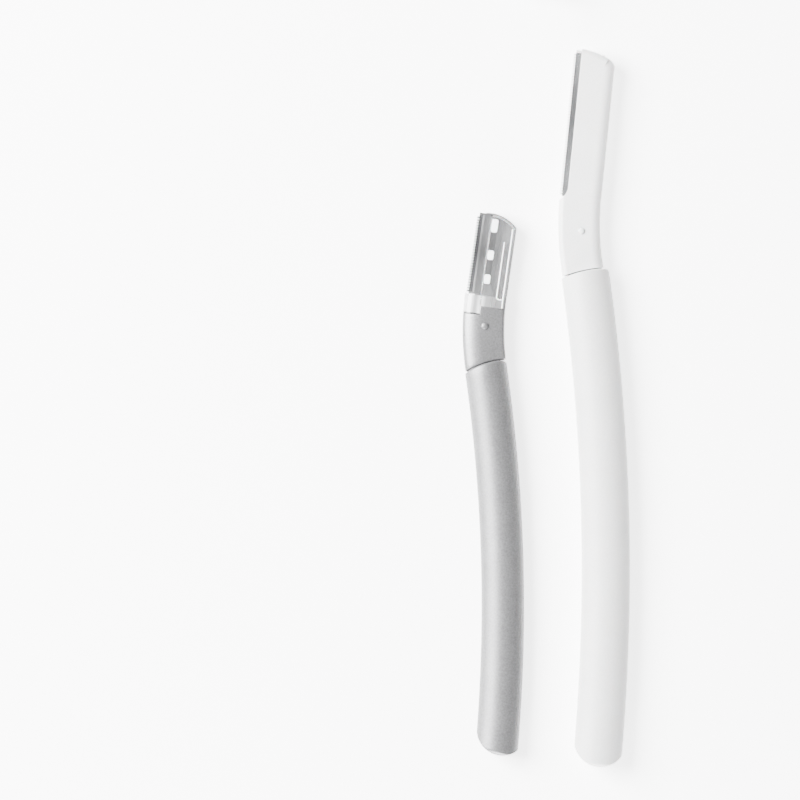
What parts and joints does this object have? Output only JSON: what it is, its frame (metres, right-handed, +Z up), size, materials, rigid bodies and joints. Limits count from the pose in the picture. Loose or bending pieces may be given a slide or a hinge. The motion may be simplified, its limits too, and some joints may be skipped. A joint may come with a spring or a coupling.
{
  "type": "eyebrow razor set",
  "caption": "Straight-head eyebrow razors with comb-guarded blades, bowed grips and slide-off sleeve caps, a large opaque one and a small clear-headed one.",
  "frame": {"origin": "on the table plane under the middle of the large grip's bow, on the grip's flat underside", "axes": "+Z up from the table, +Y from the grips' ends towards the blades' tips, +X from the blade side to the spine side"},
  "size_m": [0.0431, 0.2347, 0.0074],
  "materials": {
    "white_plastic": "fine satin",
    "guard_white": "translucent white",
    "blade_steel": "ground steel",
    "guard_steel": "dark etched steel",
    "silver_grey": "silver-grey satin",
    "clear_plastic": "clear",
    "milky_cap": "milky translucent"
  },
  "bodies": {
    "large_razor": {"large_grip": "white_plastic", "large_frame": "white_plastic", "large_back_cheek": "white_plastic", "large_blade": "blade_steel", "large_guard": "guard_white"},
    "large_cap": {"large_cap": "milky_cap"},
    "small_razor": {"small_grip": "silver_grey", "small_neck": "silver_grey", "small_holder": "clear_plastic", "small_back_cheek": "clear_plastic", "small_blade": "blade_steel", "small_guard": "guard_steel"},
    "small_cap": {"small_cap": "milky_cap"}
  },
  "joints": [
    {"name": "large_cap_slide", "type": "slide", "parent": "large_razor", "child": "large_cap", "axis": [-0.1002, -0.995, 0], "range_m": [0, 0.068]},
    {"name": "small_razor_lift", "type": "slide", "parent": "large_razor", "child": "small_razor", "axis": [0, 0, 1], "range_m": [0, 0.03]},
    {"name": "small_cap_slide", "type": "slide", "parent": "small_razor", "child": "small_cap", "axis": [-0.1418, -0.9899, 0], "range_m": [0, 0.084]}
  ]
}
